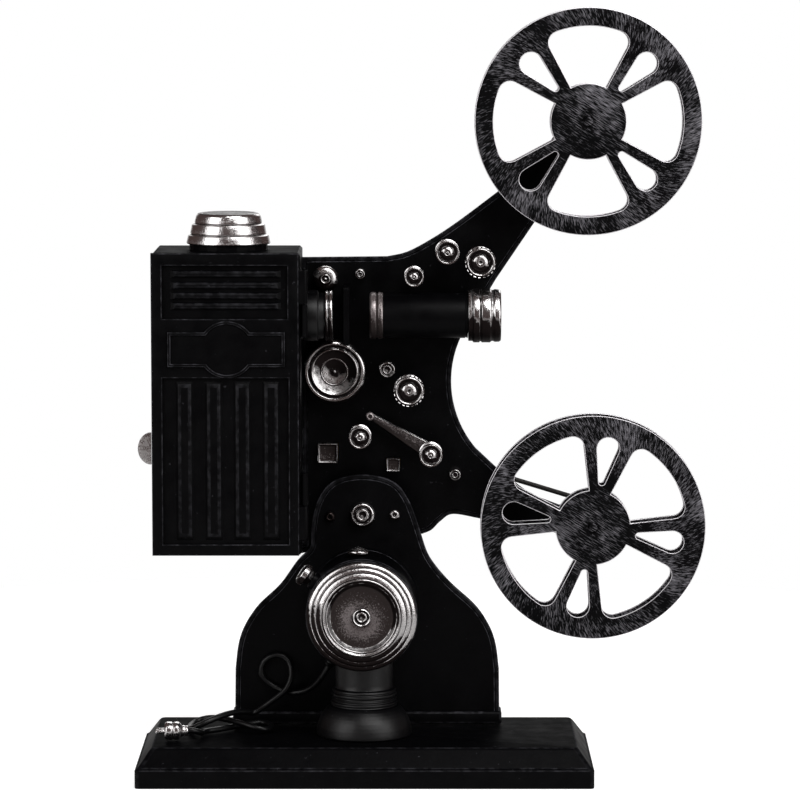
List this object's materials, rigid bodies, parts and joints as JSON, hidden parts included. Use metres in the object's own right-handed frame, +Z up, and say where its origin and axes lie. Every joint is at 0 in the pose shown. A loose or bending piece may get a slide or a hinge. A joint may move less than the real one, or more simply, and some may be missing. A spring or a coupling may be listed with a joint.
{
  "type": "film projector",
  "caption": "Antique table-top film projector: tilting head with lamphouse, lens and film path, open reels on two arms, and a motor on a cast stand.",
  "frame": {"origin": "centre of the base's underside", "axes": "+Z up, +X from the lamphouse towards the lens, +Y away from the side on which the film is threaded"},
  "size_m": [0.2766, 0.1095, 0.3713],
  "materials": {
    "black_enamel": "satin black enamel on cast metal",
    "rubbed_silver": "bright silver, dark in the grooves",
    "brushed_black_steel": "black with rubbed silver streaks",
    "plain_steel": "plain steel",
    "gear_brass": "machined brass",
    "clear_glass": "clear",
    "cord_rubber": "matt black rubber",
    "belt_leather": "round brown belt"
  },
  "bodies": {
    "stand": {"base_plinth": "black_enamel", "stand_bracket": "black_enamel", "motor_pedestal": "black_enamel", "motor_housing": "black_enamel", "oiler_cap": "rubbed_silver", "pivot_bolt": "rubbed_silver", "tilt_lock_left": "rubbed_silver", "tilt_lock_right": "rubbed_silver", "drive_belt": "belt_leather", "cord_gland": "cord_rubber", "power_cord": "cord_rubber", "cord_hank": "cord_rubber", "cord_tail": "cord_rubber", "plug_body": "rubbed_silver"},
    "motor_rotor": {"motor_handwheel": "rubbed_silver", "motor_armature": "plain_steel"},
    "speed_knob": {"speed_knob": "rubbed_silver"},
    "head": {"main_frame": "black_enamel", "rear_cover": "black_enamel", "lamphouse_body": "black_enamel", "chimney_cap": "rubbed_silver", "lamp_socket": "gear_brass", "lamp_bulb": "clear_glass", "lamp_reflector": "plain_steel", "condenser_tube": "black_enamel", "condenser_ring": "rubbed_silver", "condenser_lens": "clear_glass", "gate_plate": "black_enamel", "lens_holder": "black_enamel", "lens_rear_ring": "rubbed_silver", "take_up_belt": "belt_leather", "feed_belt": "belt_leather", "upper_stud": "rubbed_silver", "loop_stud": "rubbed_silver", "lower_stud": "rubbed_silver"},
    "door": {"lamphouse_door": "black_enamel", "door_pull": "rubbed_silver"},
    "lens": {"lens_focus_tube": "rubbed_silver", "lens_glass": "clear_glass"},
    "drive": {"drive_pulley": "plain_steel"},
    "idler": {"idler_gear": "gear_brass"},
    "lower_sprocket": {"lower_sprocket": "rubbed_silver", "lower_sprocket_gear": "gear_brass"},
    "upper_sprocket": {"upper_sprocket": "rubbed_silver"},
    "inching": {"inching_knob": "rubbed_silver", "inching_gear": "gear_brass"},
    "framing": {"framing_knob": "rubbed_silver"},
    "lever": {"gate_lever": "rubbed_silver"},
    "lever_roller": {"lever_roller": "rubbed_silver"},
    "top_guide_roller": {"top_guide_roller": "rubbed_silver"},
    "lens_guide_roller": {"lens_guide_roller": "rubbed_silver"},
    "lower_guide_roller": {"lower_guide_roller": "rubbed_silver"},
    "motor_button": {"motor_button": "rubbed_silver"},
    "lamp_button": {"lamp_button": "rubbed_silver"},
    "upper_reel": {"upper_reel_front_flange": "brushed_black_steel", "upper_reel_drum": "brushed_black_steel", "upper_reel_spindle": "brushed_black_steel"},
    "lower_reel": {"lower_reel_front_flange": "brushed_black_steel", "lower_reel_drum": "brushed_black_steel", "lower_reel_spindle": "brushed_black_steel"}
  },
  "joints": [
    {"name": "motor_spin", "type": "hinge", "parent": "stand", "child": "motor_rotor", "pos_m": [-0.0015, 0.015, 0.0796], "axis": [0, -1, 0], "continuous": true},
    {"name": "speed_turn", "type": "hinge", "parent": "stand", "child": "speed_knob", "pos_m": [-0.02571, -0.012, 0.09593], "axis": [-0.829, 0, 0.5592], "range_deg": [-135, 135]},
    {"name": "head_tilt", "type": "hinge", "parent": "stand", "child": "head", "pos_m": [-0.0015, 0.03, 0.123], "axis": [0, -1, 0], "range_deg": [-4, 4]},
    {"name": "door_swing", "type": "hinge", "parent": "head", "child": "door", "pos_m": [-0.029, -0.0132, 0.18], "axis": [0, 0, 1], "range_deg": [0, 100]},
    {"name": "lens_focus", "type": "slide", "parent": "head", "child": "lens", "axis": [1, 0, 0], "range_m": [0, 0.01]},
    {"name": "drive_spin", "type": "hinge", "parent": "head", "child": "drive", "pos_m": [-0.0015, 0.015, 0.123], "axis": [0, -1, 0], "continuous": true},
    {"name": "idler_spin", "type": "hinge", "parent": "head", "child": "idler", "pos_m": [0.00425, 0.015, 0.1509], "axis": [0, -1, 0], "continuous": true},
    {"name": "lower_sprocket_spin", "type": "hinge", "parent": "head", "child": "lower_sprocket", "pos_m": [0.0214, 0.015, 0.1851], "axis": [0, -1, 0], "continuous": true},
    {"name": "upper_sprocket_spin", "type": "hinge", "parent": "head", "child": "upper_sprocket", "pos_m": [0.0561, 0.015, 0.2479], "axis": [0, -1, 0], "continuous": true},
    {"name": "inching_spin", "type": "hinge", "parent": "head", "child": "inching", "pos_m": [-0.0152, 0.015, 0.1931], "axis": [0, -1, 0], "continuous": true},
    {"name": "framing_turn", "type": "hinge", "parent": "head", "child": "framing", "pos_m": [-0.0196, 0.015, 0.2389], "axis": [0, -1, 0], "range_deg": [-60, 60]},
    {"name": "gate_lever_swing", "type": "hinge", "parent": "head", "child": "lever", "pos_m": [0.032, 0.023, 0.1535], "axis": [0, 1, 0], "range_deg": [-8, 28]},
    {"name": "lever_roller_spin", "type": "hinge", "parent": "head", "child": "lever_roller", "pos_m": [0.032, 0.015, 0.1535], "axis": [0, -1, 0], "continuous": true},
    {"name": "top_guide_spin", "type": "hinge", "parent": "head", "child": "top_guide_roller", "pos_m": [0.04, 0.015, 0.2527], "axis": [0, -1, 0], "continuous": true},
    {"name": "lens_guide_spin", "type": "hinge", "parent": "head", "child": "lens_guide_roller", "pos_m": [0.0238, 0.015, 0.2408], "axis": [0, -1, 0], "continuous": true},
    {"name": "lower_guide_spin", "type": "hinge", "parent": "head", "child": "lower_guide_roller", "pos_m": [-0.0026, 0.015, 0.1622], "axis": [0, -1, 0], "continuous": true},
    {"name": "motor_button_push", "type": "slide", "parent": "head", "child": "motor_button", "axis": [0, 1, 0], "range_m": [0, 0.0025], "stiffness_N_per_m": 200},
    {"name": "lamp_button_push", "type": "slide", "parent": "head", "child": "lamp_button", "axis": [0, 1, 0], "range_m": [0, 0.0025], "stiffness_N_per_m": 200},
    {"name": "upper_reel_spin", "type": "hinge", "parent": "head", "child": "upper_reel", "pos_m": [0.1081, 0.015, 0.3163], "axis": [0, -1, 0], "continuous": true},
    {"name": "lower_reel_spin", "type": "hinge", "parent": "head", "child": "lower_reel", "pos_m": [0.1114, 0.015, 0.1182], "axis": [0, -1, 0], "continuous": true}
  ],
  "couplings": [
    {"joint": "drive_spin", "follows": "motor_spin", "ratio": 0.5},
    {"joint": "idler_spin", "follows": "motor_spin", "ratio": -0.17857},
    {"joint": "lower_sprocket_spin", "follows": "motor_spin", "ratio": 0.21739},
    {"joint": "inching_spin", "follows": "motor_spin", "ratio": -0.18519},
    {"joint": "upper_sprocket_spin", "follows": "motor_spin", "ratio": 0.21739}
  ]
}
